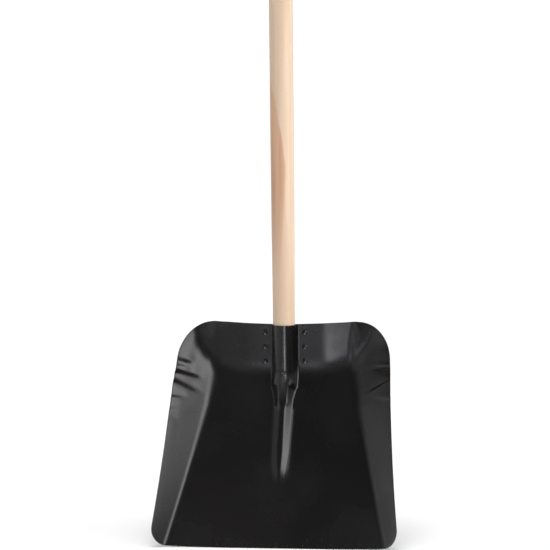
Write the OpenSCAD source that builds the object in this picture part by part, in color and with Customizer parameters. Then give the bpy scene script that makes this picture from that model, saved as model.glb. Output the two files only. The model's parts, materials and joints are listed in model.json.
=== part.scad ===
// Pressed-steel snow shovel with a straight wooden handle.
// Millimetres. +Z runs up the handle and -Y is the hollow side of the blade.
// The origin is the middle of the cutting edge. The blade is one sheet: a flat pan that leans
// back from the edge, a bend, an upright back wall, two flared side walls and a raised centre
// line that starts as a stiffening ridge and opens into the front half of the handle socket.

/* [Blade outline] */
// Lean of the pan away from the handle's line, degrees
lean = 30; // [26:1:34]
// Length of the pan up to the corner line with the back wall
pan_len = 295; // [280:5:310]
// Height of the back wall above that corner line
back_wall = 76; // [70:1:84]
// Length of sheet over which the pan turns up into the back wall
fold_len = 50; // [44:1:54]
// Half the width of the flat pan at the cutting edge
crease_front = 171.3; // [165:0.1:175]
// How much that half-width shrinks per millimetre of pan
crease_taper = 0.219; // [0.19:0.001:0.23]
// Half the width over the side walls' rims, extended to the cutting edge
rim_front = 192.8; // [190:0.1:200]
// How much that half-width shrinks per millimetre of pan
rim_taper = 0.068; // [0.05:0.001:0.08]
// Inward curve of each side rim at its middle
rim_waist = 4; // [0:0.5:5]
// Corner radius at the cutting edge
front_r = 23.5; // [15:0.5:28]
// Corner radius at the top of the back wall
back_r = 57; // [50:1:60]
// Rise of the top rim from its middle to its corners
rim_rise = 3.4; // [0:0.1:6]
// Bow of the cutting edge, from its straight middle to its ends
edge_bow = 1.9; // [0:0.1:3]
// Half the length of that straight middle
edge_straight = 50; // [20:5:80]

/* [Side walls] */
// Slope of a side wall at the cutting edge, rise over run
slope_front = 0.934; // [0.8:0.001:1]
// Loss of slope per millimetre towards the back
slope_fade = 0.0013; // [0.0008:0.0001:0.0015]
// Extra slope at mid length
slope_mid = 0.055; // [0:0.005:0.1]
// Bend radius between pan and side wall at the cutting edge
side_bend_front = 14; // [8:0.5:16]
// Bend radius between pan and side wall at the back
side_bend_back = 45; // [30:1:50]

/* [Back corners] */
// How steeply the fold climbs towards the corners, rise over run
sweep_slope = 0.3; // [0.2:0.05:0.35]
// How much later the fold comes in the corners, on top of that climb
lift = 34; // [26:1:40]
// Hollow of the back wall where it nears the corners, per millimetre
curl = 0.0004; // [0:0.0001:0.0005]
// Outward flare of the side walls at their rims, rise over run
rim_flare = 0.09; // [0:0.01:0.1]

/* [Sheets] */
// Thickness of the blade's sheet
sheet_t = 1; // [0.8:0.1:1.2]
// Thickness of the plate that closes the socket behind
plate_t = 1.5; // [1:0.1:2]
// Width of that plate over its flanges
plate_w = 84; // [78:1:96]
// Height of that plate
plate_h = 70; // [66:1:76]
// Corner radius of that plate
plate_r = 8; // [4:1:12]

/* [Socket and ridge] */
// Radius of the socket's sheet, to mid thickness
socket_r = 18.5; // [18:0.1:19]
// Distance of the handle's axis in front of the back wall
socket_fwd = 8; // [6:0.5:9]
// Fillet where the socket leaves the back wall
socket_fillet = 4.5; // [3.5:0.5:5]
// Height of the stiffening ridge where it meets the socket
ridge_h = 6.6; // [5:0.1:8]
// Height of the ridge near its free end
ridge_end_h = 4; // [3:0.5:5]
// Half the width of the ridge
ridge_w = 15.5; // [14:0.5:18]
// Half the width of the ridge near its free end
ridge_end_w = 11.5; // [10:0.5:13]
// Half the width of the raised nose where the ridge meets the socket
nose_w = 23.5; // [21:0.5:24]

/* [Handle] */
// Diameter of the handle above its taper
handle_d = 37.5; // [36:0.5:38]
// Diameter where the handle enters the socket
neck_d = 35; // [34:0.1:35.2]
// Diameter of the end inside the socket
tail_d = 32.6; // [31:0.1:32.8]
// Length of the taper above the socket
taper_len = 230; // [180:10:280]
// Height of the handle's lower end above the cutting edge
handle_low = 241.2; // [240:0.1:246]
// Whole length of the handle
handle_len = 1200; // [900:10:1400]
// Rounding of the top end
top_round = 12; // [6:1:16]

/* [Fasteners] */
// Shank diameter of a rivet
rivet_d = 5; // [4:0.1:5]
// Head diameter of a rivet
rivet_head_d = 9; // [8:0.1:10]
// Height of a rivet's domed front head
rivet_dome = 2.1; // [1.5:0.1:2.6]
// Distance of the rivet columns from the middle
rivet_x = 31.7; // [30:0.1:33]
// Distance of the first rivet row below the rim
rivet_first = 12.8; // [10:0.1:14]
// Spacing of the rivet rows
rivet_step = 23; // [20:0.1:23]
// Distance of the handle screw below the rim
screw_drop = 73; // [68:1:78]
// Shank diameter of the handle screw
screw_d = 4.2; // [3.5:0.1:5]
// Head diameter of the handle screw
screw_head_d = 9.4; // [8:0.1:10]
// Length of the handle screw under its head
screw_len = 24; // [18:1:28]

/* [Hidden] */
steel = [0.09, 0.09, 0.10];
beech = [0.86, 0.74, 0.60];
blackened = [0.16, 0.16, 0.17];
round_fn = 64;
ball_fn = 48;
shaft_fn = 96;
// Places in the row frame
wall_y = pan_len * sin(lean);
rim_z = pan_len * cos(lean) + back_wall;
axis_y = wall_y - socket_fwd;
crest_y = axis_y - socket_r;
plate_front = wall_y + sheet_t / 2;
screw_z = rim_z - screw_drop;
gap = 0.03;
// Stations along the blade: the ridge grows, becomes the nose, then the tube of the socket
ridge_from = 92;
ridge_full = 138;
nose_from = 229;
nose_to = 241;
nose_tip_w = 18.5;
nose_blend = 25;
tube_from = 262;
tube_to = 272;
// Below this length the socket's front sinks slightly towards the nose
drop_from = 294;
drop_slope = 0.075;
// Where the pan's side creases turn outwards, and where they spread into the corners
turn_from = 235;
crease_turn = 0.08;
spread_from = 295;
crease_spread = 0.003;
slope_back = 0.0028;
// Reach of the rim's flare, of the back wall's hollow and of the fold's delay, across the blade
flare_w = 9;
curl_from = 45;
curl_w = 65;
sweep_from = 50;
sweep_w = 20;
lift_from = 108;
lift_to = 150;
// Distance from the middle at which the top rim has its full rise, and the reach of the bow
rise_at = 104;
rise_power = 1.3;
bow_depth = 120;

function clamp(v, lo, hi) = min(max(v, lo), hi);
function mix(a, b, t) = a + (b - a) * t;
function ease(t) = let (u = clamp(t, 0, 1)) u * u * (3 - 2 * u);
function smooth_max(a, b, k) = max(a, b) + pow(max(k - abs(a - b), 0), 2) / (4 * k);

// The fold: the lean falls smoothly to zero, and two tables tell how far the sheet has got
fold_steps = 32;
fold_step = fold_len / fold_steps;
function fold_lean(k) = lean * (1 - ease((k + 0.5) / fold_steps));
fold_y = [for (k = 0, v = 0; k <= fold_steps; v = v + fold_step * sin(fold_lean(k)), k = k + 1)
    [k / fold_steps, v]];
fold_z = [for (k = 0, v = 0; k <= fold_steps; v = v + fold_step * cos(fold_lean(k)), k = k + 1)
    [k / fold_steps, v]];
bend_start = (wall_y - fold_y[fold_steps][1]) / sin(lean);
bend_end = bend_start + fold_len;
blade_len = bend_end + rim_z - bend_start * cos(lean) - fold_z[fold_steps][1];

// How much later the fold comes at distance x: it sweeps up towards the side rims
function soft_ramp(t, w) = t < w ? pow(max(t, 0), 2) / (2 * w) : t - w / 2;
function fold_lift(x) = sweep_slope * soft_ramp(x - sweep_from, sweep_w)
    + lift * ease((x - lift_from) / (lift_to - lift_from));
function lean_at(s, x = 0) = lean * (1 - ease((s - bend_start - fold_lift(x)) / fold_len));
function centre_y(s, x = 0) = let (start = bend_start + fold_lift(x))
    min(s, start) * sin(lean) + lookup((s - start) / fold_len, fold_y);
function centre_z(s) = min(s, bend_start) * cos(lean)
    + lookup((s - bend_start) / fold_len, fold_z) + max(s - bend_end, 0);

// Half-widths of the flat pan and of the rim
function crease_at(s) = crease_front - crease_taper * s + crease_turn * max(s - turn_from, 0)
    + crease_spread * pow(max(s - spread_from, 0), 2);
function bowed(s) = let (w = s / blade_len) 4 * w * (1 - w);
function rim_plain(s) = rim_front - rim_taper * s - rim_waist * bowed(s);
function corner_cut(t) = 1 - sqrt(max(1 - t * t, 0));
function rim_at(s) = rim_plain(s)
    - 0.75 * front_r * corner_cut(clamp(1 - s / front_r, 0, 1))
    - back_r * corner_cut(clamp((s - blade_len + back_r) / back_r, 0, 1));

// Rise of a side wall off the pan, with its fillet, its flared rim and the back wall's hollow
function slope_at(s) = slope_front - slope_fade * s + slope_mid * bowed(s)
    + slope_back * max(s - spread_from, 0);
function side_bend(s) = mix(side_bend_front, side_bend_back, pow(clamp(s / 300, 0, 1), 2.5));
function bend_reach(s) = side_bend(s) * tan(atan(slope_at(s)) / 2);
function back_curl(x, s) = let (t = max(x - curl_from, 0))
    curl * (t < curl_w ? t * t : curl_w * (2 * t - curl_w)) * ease((s - bend_start) / fold_len);
function rim_curl(x, s) = rim_flare / (2 * flare_w) * pow(max(x - rim_at(s) + flare_w, 0), 2);
function wall_rise(x, s) = let (
        r = side_bend(s),
        u = x - crease_at(s) + bend_reach(s),
        run = r * sin(atan(slope_at(s))),
        rise = u <= 0 ? 0 : u < run ? r - sqrt(r * r - u * u) : (x - crease_at(s)) * slope_at(s))
    rise - rim_curl(x, s) + back_curl(x, s);

// Extra length that bows the cutting edge and lifts the rim's corners
function stretch(x, s) =
    rim_rise * pow(x / rise_at, rise_power) * clamp((s - bend_start) / (blade_len - bend_start), 0, 1)
    + edge_bow * pow(max(x - edge_straight, 0) / (crease_front - edge_straight), 2)
        * clamp(1 - s / bow_depth, 0, 1);

// Height of the raised centre line's crest: the ridge, running into the socket
ridge_low_at = 115;
ridge_high_at = 235;
function ridge_crest(s) =
    mix(ridge_end_h, ridge_h, clamp((s - ridge_low_at) / (ridge_high_at - ridge_low_at), 0, 1))
    * ease((s - ridge_from) / (ridge_full - ridge_from));
function socket_crest(s) = (centre_y(s) - crest_y) / cos(lean_at(s))
    - drop_slope * max(drop_from - s, 0);
function crest_at(s) = s < ridge_from ? 0 : smooth_max(socket_crest(s), ridge_crest(s), nose_blend);

// Half section of the ridge and nose as [x, height]; q runs from the crest to the foot
widen_from = 105;
widen_len = 60;
function bump(t, top, foot, blend) = let (v = (foot - t) / (foot - top))
    smooth_max(-smooth_max(-v, -1, blend), 0, blend);
function ridge_section(q, s) = let (
        front = ease((s - widen_from) / widen_len),
        nose = ease((s - nose_from) / (nose_to - nose_from)),
        low_w = mix(ridge_end_w, ridge_w, front),
        high_w = mix(nose_tip_w, nose_w, ease((s - nose_to) / (tube_to - nose_to))),
        top = mix(mix(0.1, 0.22, front), 0.36, nose),
        foot = mix(0.93, 0.77, nose),
        blend = mix(0.22, 0.3, nose))
    [mix(low_w, high_w, nose) * q, q >= 1 ? 0 : crest_at(s) * bump(q, top, foot, blend)];

// Half section of the socket: a quarter round, a short flank and a fillet at the foot
arc_share = 0.64;
function flank_at(s) = max(socket_fillet, (centre_y(s) - axis_y) / cos(lean_at(s)));
function tube_section(q, s) = q <= arc_share
    ? let (a = 90 * q / arc_share)
        [socket_r * sin(a), flank_at(s) + (crest_at(s) - flank_at(s)) * cos(a)]
    : let (a = 90 * (q - arc_share) / (1 - arc_share))
        [socket_r + socket_fillet * (1 - cos(a)), socket_fillet * (1 - sin(a))];
function raised_section(q, s) = let (m = ease((s - tube_from) / (tube_to - tube_from)))
    mix(ridge_section(q, s), tube_section(q, s), m);
function foot_end(s) = raised_section(1, s)[0];

// Columns of the half blade. Zone 0 is the raised line, 1 the flat, 2 the fillet, 3 the wall.
half_columns = [
    for (k = [0 : 7]) [0, k / 7 * arc_share],
    for (k = [1 : 3]) [0, arc_share + (1 - arc_share) * k / 3],
    for (k = [1 : 2]) [1, k / 2],
    for (k = [1 : 4]) [2, k / 4],
    for (k = [1 : 3]) [3, k / 3]
];
columns = [
    for (k = [len(half_columns) - 1 : -1 : 1]) [half_columns[k][0], half_columns[k][1], -1],
    for (k = [0 : len(half_columns) - 1]) [half_columns[k][0], half_columns[k][1], 1]
];

// Rows of the blade, as lengths from the cutting edge
rows = [
    for (k = [0 : 5]) front_r * (1 - cos(18 * k)),
    for (k = [1 : 2]) mix(front_r, ridge_from, k / 2),
    for (k = [1 : 4]) mix(ridge_from, ridge_full, k / 4),
    for (k = [1 : 4]) mix(ridge_full, nose_from, k / 4),
    for (k = [1 : 3]) mix(nose_from, nose_to, k / 3),
    for (k = [1 : 2]) mix(nose_to, tube_from, k / 2),
    for (k = [1 : 3]) mix(tube_from, tube_to, k / 3),
    for (k = [1 : 6]) mix(tube_to, blade_len - back_r, k / 6),
    for (k = [1 : 9]) blade_len - back_r * (1 - sin(10 * k))
];

// Nominal distance of a column from the middle, then its squeeze where a corner is cut off;
// beside the socket a strip of the back wall is left unsqueezed
flat_kept = 12;
function nominal_x(zone, t, s) = let (reach = bend_reach(s), turn = side_bend(s) * sin(atan(slope_at(s))))
    zone == 1 ? mix(foot_end(s), crease_at(s) - reach, t)
    : zone == 2 ? crease_at(s) - reach + turn * t
    : mix(crease_at(s) - reach + turn, rim_plain(s), t);
function column_x(zone, t, s) = let (
        x = nominal_x(zone, t, s),
        from = s < blade_len / 2 ? crease_at(s) + bend_reach(s) : foot_end(s) + flat_kept,
        share = clamp((x - from) / (rim_plain(s) - from), 0, 1))
    x - (rim_plain(s) - rim_at(s)) * share;
function blade_point(c, s) = let (
        raised = raised_section(c[1], s),
        x = c[0] == 0 ? raised[0] : column_x(c[0], c[1], s),
        h = c[0] == 0 ? raised[1] : wall_rise(x, s),
        l = s + stretch(x, s))
    [c[2] * x, centre_y(l, x) - h * cos(lean_at(l, x)), centre_z(l) + h * sin(lean_at(l))];

module blade_sheet() {
    nr = len(rows);
    nc = len(columns);
    mid = [for (s = rows) [for (c = columns) blade_point(c, s)]];
    // Unit normals from each point's neighbours, towards the hollow side
    normal = [for (i = [0 : nr - 1]) [for (j = [0 : nc - 1]) let (
        up = mid[min(i + 1, nr - 1)][j] - mid[max(i - 1, 0)][j],
        across = mid[i][min(j + 1, nc - 1)] - mid[i][max(j - 1, 0)],
        n = cross(across, up)) n / norm(n)]];
    front = [for (i = [0 : nr - 1]) for (j = [0 : nc - 1]) mid[i][j] + normal[i][j] * sheet_t / 2];
    back = [for (i = [0 : nr - 1]) for (j = [0 : nc - 1]) mid[i][j] - normal[i][j] * sheet_t / 2];
    rim = [
        for (j = [0 : nc - 1]) j,
        for (i = [1 : nr - 1]) i * nc + nc - 1,
        for (j = [nc - 2 : -1 : 0]) (nr - 1) * nc + j,
        for (i = [nr - 2 : -1 : 1]) i * nc
    ];
    n = nr * nc;
    edge = len(rim);
    faces = [
        for (i = [0 : nr - 2]) for (j = [0 : nc - 2]) let (
            a = i * nc + j, b = a + 1, c = b + nc, d = a + nc,
            flip = j >= (nc - 1) / 2)
            each flip
                ? [[a, c, b], [a, d, c], [n + a, n + b, n + c], [n + a, n + c, n + d]]
                : [[a, d, b], [b, d, c], [n + a, n + b, n + d], [n + b, n + c, n + d]],
        for (k = [0 : edge - 1]) let (a = rim[k], b = rim[(k + 1) % edge])
            each [[a, b, n + b], [a, n + b, n + a]]
    ];
    polyhedron(points = concat(front, back), faces = faces, convexity = 10);
}

module at_rivets() {
    for (side = [-1, 1]) {
        for (row = [0 : 2]) {
            translate([side * rivet_x, 0, rim_z - rivet_first - rivet_step * row]) children();
        }
    }
}

// Half the length of a hole's cutter, and the play of the screw in the blade
through = 8;
screw_play = 0.8;

// A cylinder along +Y from y1 to y2
module along_y(d, y1, y2) {
    translate([0, y1, 0]) rotate([-90, 0, 0]) cylinder(d = d, h = y2 - y1, $fn = round_fn);
}

module blade() {
    color(steel) difference() {
        blade_sheet();
        at_rivets() along_y(rivet_d + 2 * gap, wall_y - through, wall_y + through);
        translate([0, 0, screw_z]) along_y(screw_d + screw_play, crest_y - through, crest_y + through);
    }
}

// The rear half of the socket: a channel round the handle, with a riveted flange on each side
module socket_back_plate() {
    inner_r = socket_r - sheet_t / 2;
    color(steel) difference() {
        intersection() {
            translate([0, 0, rim_z - plate_h]) linear_extrude(plate_h) difference() {
                union() {
                    translate([-plate_w / 2, plate_front + gap]) square([plate_w, plate_t]);
                    intersection() {
                        translate([0, axis_y]) circle(inner_r + plate_t, $fn = shaft_fn);
                        translate([-plate_w / 2, plate_front + gap]) square([plate_w, plate_w / 2]);
                    }
                }
                translate([0, axis_y]) circle(inner_r, $fn = shaft_fn);
            }
            translate([0, plate_front + plate_w / 2, 0]) rotate([90, 0, 0])
                linear_extrude(plate_w) plate_outline();
        }
        at_rivets() along_y(rivet_d + 2 * gap, wall_y - through, wall_y + through);
    }
}

module plate_outline() {
    low = rim_z - plate_h;
    for (side = [-1, 1]) {
        translate([side * (plate_w / 2 - plate_r), low + plate_r]) circle(plate_r, $fn = round_fn);
    }
    translate([-plate_w / 2, low + plate_r]) square([plate_w, plate_h]);
    translate([plate_r - plate_w / 2, low]) square([plate_w - 2 * plate_r, plate_h]);
}

// A domed front head, a shank through both sheets and a flat closing head behind
overlap = 0.2;
tail_d1 = rivet_head_d - 1.4;
tail_d2 = rivet_head_d - 3.4;
tail_flat = 1.1;
tail_cone = 0.7;
module rivet(seat) {
    head_r = rivet_head_d / 2;
    front_y = wall_y - sheet_t / 2 - gap - seat;
    rear_y = plate_front + plate_t + 2 * gap;
    along_y(rivet_d, front_y - overlap, rear_y + overlap);
    translate([0, front_y, 0]) dome(head_r, rivet_dome);
    along_y(tail_d1, rear_y, rear_y + tail_flat);
    translate([0, rear_y + tail_flat, 0]) rotate([-90, 0, 0])
        cylinder(d1 = tail_d1, d2 = tail_d2, h = tail_cone, $fn = round_fn);
}

// A domed head standing towards -Y on a base of radius r
module dome(r, h) {
    ball_r = (r * r + h * h) / (2 * h);
    rotate([90, 0, 0]) intersection() {
        translate([0, 0, h - ball_r]) sphere(ball_r, $fn = ball_fn);
        cylinder(r = r, h = h + 1, $fn = round_fn);
    }
}

// The sheet leans forward below the lowest row, so each head sits where its lower edge touches
wall_line = [for (k = [0 : fold_steps]) let (s = bend_start + k * fold_step)
    [centre_z(s), centre_y(s)]];
module socket_rivets() {
    color(steel) for (side = [-1, 1]) {
        for (row = [0 : 2]) {
            z = rim_z - rivet_first - rivet_step * row;
            seat = wall_y - lookup(z - rivet_head_d / 2, wall_line);
            translate([side * rivet_x, 0, z]) rivet(seat);
        }
    }
}

// A turned shaft: the end in the socket is tapered and cut off flush with the pan's underside
end_bevel = 1.5;
pan_clearance = 0.6;
module handle() {
    top = handle_low + handle_len;
    full_z = rim_z + taper_len;
    outline = [
        [0, handle_low],
        [tail_d / 2 - end_bevel, handle_low],
        [tail_d / 2, handle_low + end_bevel],
        [neck_d / 2, rim_z],
        [handle_d / 2, full_z],
        for (a = [0 : 10 : 90])
            [handle_d / 2 - top_round + top_round * cos(a), top - top_round + top_round * sin(a)],
        [0, top]
    ];
    color(beech) difference() {
        translate([0, axis_y, 0]) rotate_extrude($fn = shaft_fn) polygon(outline);
        rotate([-lean, 0, 0]) translate([-handle_d, sheet_t / 2 + pan_clearance, 0])
            cube([2 * handle_d, 2 * handle_d, blade_len]);
        translate([0, 0, screw_z])
            along_y(screw_d + 2 * gap, crest_y - through, crest_y + screw_len + 2);
    }
}

// A slotted round-head screw through the front of the socket into the wood
screw_head_h = 2.6;
screw_tip = 5;
screw_tip_d = 0.8;
slot_w = 1.2;
slot_depth = 1.2;
slot_turn = 35;
module handle_screw() {
    head_r = screw_head_d / 2;
    seat = crest_y - sheet_t / 2 - gap;
    neck_end = seat + screw_len - screw_tip;
    color(blackened) translate([0, 0, screw_z]) {
        difference() {
            translate([0, seat, 0]) dome(head_r, screw_head_h);
            rotate([0, slot_turn, 0])
                translate([-head_r - 1, seat - screw_head_h - 1, -slot_w / 2])
                cube([2 * head_r + 2, slot_depth + 1, slot_w]);
        }
        along_y(screw_d, seat - overlap, neck_end);
        translate([0, neck_end, 0]) rotate([-90, 0, 0])
            cylinder(d1 = screw_d, d2 = screw_tip_d, h = screw_tip, $fn = round_fn);
    }
}

blade();
socket_back_plate();
socket_rivets();
handle();
handle_screw();
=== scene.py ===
import json
import math

import bpy
import numpy as np
from mathutils import Matrix, Vector


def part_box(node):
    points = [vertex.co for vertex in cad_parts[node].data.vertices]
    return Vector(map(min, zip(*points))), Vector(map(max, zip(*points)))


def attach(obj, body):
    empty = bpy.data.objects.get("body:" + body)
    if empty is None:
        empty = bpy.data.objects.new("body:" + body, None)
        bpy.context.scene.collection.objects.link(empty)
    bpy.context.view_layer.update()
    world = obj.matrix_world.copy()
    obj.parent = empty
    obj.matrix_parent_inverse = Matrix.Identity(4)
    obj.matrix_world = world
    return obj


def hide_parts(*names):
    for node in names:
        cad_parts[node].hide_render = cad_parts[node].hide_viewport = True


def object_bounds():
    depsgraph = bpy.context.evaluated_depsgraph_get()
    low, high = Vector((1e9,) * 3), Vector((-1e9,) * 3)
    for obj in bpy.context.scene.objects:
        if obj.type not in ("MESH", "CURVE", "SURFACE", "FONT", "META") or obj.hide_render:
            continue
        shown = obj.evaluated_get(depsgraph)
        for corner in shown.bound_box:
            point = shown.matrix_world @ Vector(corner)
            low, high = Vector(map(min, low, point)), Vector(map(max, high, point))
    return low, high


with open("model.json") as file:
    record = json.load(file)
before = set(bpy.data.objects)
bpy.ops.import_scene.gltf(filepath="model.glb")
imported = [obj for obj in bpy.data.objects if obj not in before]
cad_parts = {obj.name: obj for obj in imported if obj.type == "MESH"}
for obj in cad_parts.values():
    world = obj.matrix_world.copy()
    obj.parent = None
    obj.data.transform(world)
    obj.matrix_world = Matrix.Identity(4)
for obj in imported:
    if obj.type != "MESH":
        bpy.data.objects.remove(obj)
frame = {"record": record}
cad_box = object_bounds()
record = frame["record"]
MM = 0.001

# ---------------------------------------------------------------- sizes from the frame
mounts = {m["name"]: m for m in record["mounts"]}
plate_lo, plate_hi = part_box("socket_back_plate")
rivet_lo, rivet_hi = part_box("socket_rivets")
handle_lo, handle_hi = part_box("handle")
screw_lo, screw_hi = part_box("handle_screw")

SHEET = 1.0 * MM
PLATE, PLATE_GAP = 1.5 * MM, 0.03 * MM
LEAN = math.asin(-mounts["pan_underside"]["axis"][2])
RIM_Z = plate_hi.z
WALL_Y = plate_lo.y - SHEET / 2 - PLATE_GAP
AXIS_Y = (handle_lo.y + handle_hi.y) / 2
HANDLE_R = mounts["handle_shaft"]["dims"]["r_mm"] * MM

# ---------------------------------------------------------------- small mathematics
def mix(a, b, t):
    return a + (b - a) * t


def ease(t):
    t = np.clip(t, 0, 1)
    return t * t * (3 - 2 * t)


def smooth_max(a, b, k):
    return np.maximum(a, b) + np.maximum(k - np.abs(a - b), 0) ** 2 / (4 * k)


# ---------------------------------------------------------------- the fold between pan and back wall
# The lean falls smoothly to zero over FOLD_LEN; the two sums give where the fold has got to
FOLD_LEN = 50 * MM
FOLD_STEPS = 32
FOLD_T = np.linspace(0, 1, FOLD_STEPS + 1)
FOLD_LEANS = LEAN * (1 - ease((FOLD_T[:-1] + FOLD_T[1:]) / 2))
FOLD_Y = np.concatenate([[0], np.cumsum(np.sin(FOLD_LEANS))]) * FOLD_LEN / FOLD_STEPS
FOLD_Z = np.concatenate([[0], np.cumsum(np.cos(FOLD_LEANS))]) * FOLD_LEN / FOLD_STEPS
BEND_START = (WALL_Y - FOLD_Y[-1]) / math.sin(LEAN)
BEND_END = BEND_START + FOLD_LEN
BLADE_LEN = BEND_END + RIM_Z - BEND_START * math.cos(LEAN) - FOLD_Z[-1]

# ---------------------------------------------------------------- the blade's surface
# s is the length along the blade from its cutting edge and x the distance from its middle.
# SLOPE_FADE, SLOPE_BACK, CREASE_SPREAD and CURL are per metre.

# The crease where a side wall leaves the pan, and the rim that ends the wall
CREASE_FRONT, CREASE_TAPER = 171.3 * MM, 0.219
TURN_FROM, CREASE_TURN = 235 * MM, 0.08
SPREAD_FROM, CREASE_SPREAD, SLOPE_BACK = 295 * MM, 3.0, 2.8
RIM_FRONT, RIM_TAPER, RIM_WAIST = 192.8 * MM, 0.068, 4 * MM
FRONT_R, FRONT_CUT, BACK_R = 23.5 * MM, 0.75, 57 * MM
RIM_RISE, RISE_AT, RISE_POWER = 3.4 * MM, 104 * MM, 1.3
EDGE_BOW, EDGE_STRAIGHT, BOW_DEPTH = 1.9 * MM, 50 * MM, 120 * MM

# The side wall's slope, the bend at its foot and the rim turned slightly outwards
SLOPE_FRONT, SLOPE_FADE, SLOPE_MID = 0.934, 1.3, 0.055
SIDE_BEND_FRONT, SIDE_BEND_BACK = 14 * MM, 45 * MM
SIDE_BEND_LEN, SIDE_BEND_POWER = 300 * MM, 2.5
RIM_FLARE, FLARE_W = 0.09, 9 * MM

# How the fold sweeps up towards the side rims, and the hollow of the back wall
SWEEP_SLOPE, SWEEP_FROM, SWEEP_W = 0.30, 50 * MM, 20 * MM
LIFT, LIFT_FROM, LIFT_TO = 34 * MM, 108 * MM, 150 * MM
CURL, CURL_FROM, CURL_W = 0.4, 45 * MM, 65 * MM

# The ridge along the middle: it rises, grows and widens from its end near the cutting edge
RIDGE_END_H, RIDGE_H, RIDGE_END_W, RIDGE_W = 4 * MM, 6.6 * MM, 11.5 * MM, 15.5 * MM
RIDGE_FROM, RIDGE_FULL = 92 * MM, 138 * MM
GROW_FROM, GROW_LEN = 115 * MM, 120 * MM
WIDEN_FROM, WIDEN_LEN = 105 * MM, 60 * MM

# The nose that leads the ridge into the socket, and the socket round the handle
NOSE_FROM, NOSE_TO, NOSE_TIP_W, NOSE_W = 229 * MM, 241 * MM, 18.5 * MM, 23.5 * MM
TUBE_FROM, TUBE_TO, NOSE_BLEND = 262 * MM, 272 * MM, 25 * MM
DROP_FROM, DROP_SLOPE = 294 * MM, 0.075
SOCKET_R, SOCKET_FILLET, ARC_SHARE = 18.5 * MM, 4.5 * MM, 0.64
CREST_Y = AXIS_Y - SOCKET_R

# Cross-sections of ridge and nose, as shares of the half width: flat top, foot, rounding
RIDGE_END_TOP, RIDGE_TOP, NOSE_TOP = 0.1, 0.22, 0.36
RIDGE_FOOT, NOSE_FOOT = 0.93, 0.77
RIDGE_ROUND, NOSE_ROUND = 0.22, 0.3


def fold_lift(x):
    """How much later the fold comes at distance x: it sweeps up towards the side rims."""
    t = np.maximum(x - SWEEP_FROM, 0)
    sweep = SWEEP_SLOPE * np.where(t < SWEEP_W, t * t / (2 * SWEEP_W), t - SWEEP_W / 2)
    return sweep + LIFT * ease((x - LIFT_FROM) / (LIFT_TO - LIFT_FROM))


def lean_at(s, x=0.0):
    return LEAN * (1 - ease((s - BEND_START - fold_lift(x)) / FOLD_LEN))


def centre_line(s, x=0.0):
    """The blade before its side walls rise, as (y, z), at length s from the cutting edge."""
    start = BEND_START + fold_lift(x)
    t = (s - start) / FOLD_LEN
    along = np.minimum(s, start)
    y = along * math.sin(LEAN) + np.interp(t, FOLD_T, FOLD_Y)
    z = along * math.cos(LEAN) + np.interp(t, FOLD_T, FOLD_Z) + np.maximum(s - start - FOLD_LEN, 0)
    return y, z


def bowed(s):
    w = s / BLADE_LEN
    return 4 * w * (1 - w)


def crease_at(s):
    turn = CREASE_TURN * np.maximum(s - TURN_FROM, 0)
    spread = CREASE_SPREAD * np.maximum(s - SPREAD_FROM, 0) ** 2
    return CREASE_FRONT - CREASE_TAPER * s + turn + spread


def rim_plain(s):
    """The rim's distance from the middle before its corners are rounded."""
    return RIM_FRONT - RIM_TAPER * s - RIM_WAIST * bowed(s)


def corner_cut(t):
    return 1 - np.sqrt(np.maximum(1 - t * t, 0))


def rim_at(s):
    front = FRONT_CUT * FRONT_R * corner_cut(np.clip(1 - s / FRONT_R, 0, 1))
    back = BACK_R * corner_cut(np.clip((s - BLADE_LEN + BACK_R) / BACK_R, 0, 1))
    return rim_plain(s) - front - back


def slope_at(s):
    return SLOPE_FRONT - SLOPE_FADE * s + SLOPE_MID * bowed(s) + SLOPE_BACK * np.maximum(s - SPREAD_FROM, 0)


def side_bend(s):
    """Radius of the bend at a side wall's foot: tight in front, wide near the back wall."""
    share = np.clip(s / SIDE_BEND_LEN, 0, 1) ** SIDE_BEND_POWER
    return mix(SIDE_BEND_FRONT, SIDE_BEND_BACK, share)


def bend_reach(s):
    return side_bend(s) * np.tan(np.arctan(slope_at(s)) / 2)


def back_curl(x, s):
    """The back wall's slight hollow: it starts to curve forward well before the corners."""
    t = np.maximum(x - CURL_FROM, 0)
    rise = CURL * np.where(t < CURL_W, t * t, CURL_W * (2 * t - CURL_W))
    return rise * ease((s - BEND_START) / (BEND_END - BEND_START))


def wall_rise(x, s):
    """How far a side wall stands off the pan at distance x from the middle."""
    r = side_bend(s)
    u = x - crease_at(s) + bend_reach(s)
    run = r * np.sin(np.arctan(slope_at(s)))
    arc = r - np.sqrt(np.maximum(r * r - np.clip(u, 0, run) ** 2, 0))
    flare = RIM_FLARE / (2 * FLARE_W) * np.maximum(x - rim_at(s) + FLARE_W, 0) ** 2
    return np.where(u < run, arc, (x - crease_at(s)) * slope_at(s)) - flare + back_curl(x, s)


def stretch(x, s):
    """Extra length that lifts the rim's corners and bows the cutting edge."""
    lift = RIM_RISE * (x / RISE_AT) ** RISE_POWER
    out = np.maximum(x - EDGE_STRAIGHT, 0) / (CREASE_FRONT - EDGE_STRAIGHT)
    above = np.clip((s - BEND_START) / (BLADE_LEN - BEND_START), 0, 1)
    return lift * above + EDGE_BOW * out ** 2 * np.clip(1 - s / BOW_DEPTH, 0, 1)


def blade_point(side, x, h, s):
    """The later fold towards the side rims pushes the sheet back but leaves its height alone."""
    y = centre_line(s, x)[0] - h * np.cos(lean_at(s, x))
    z = centre_line(s)[1] + h * np.sin(lean_at(s))
    return np.stack([side * x, y, z], -1)


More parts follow.
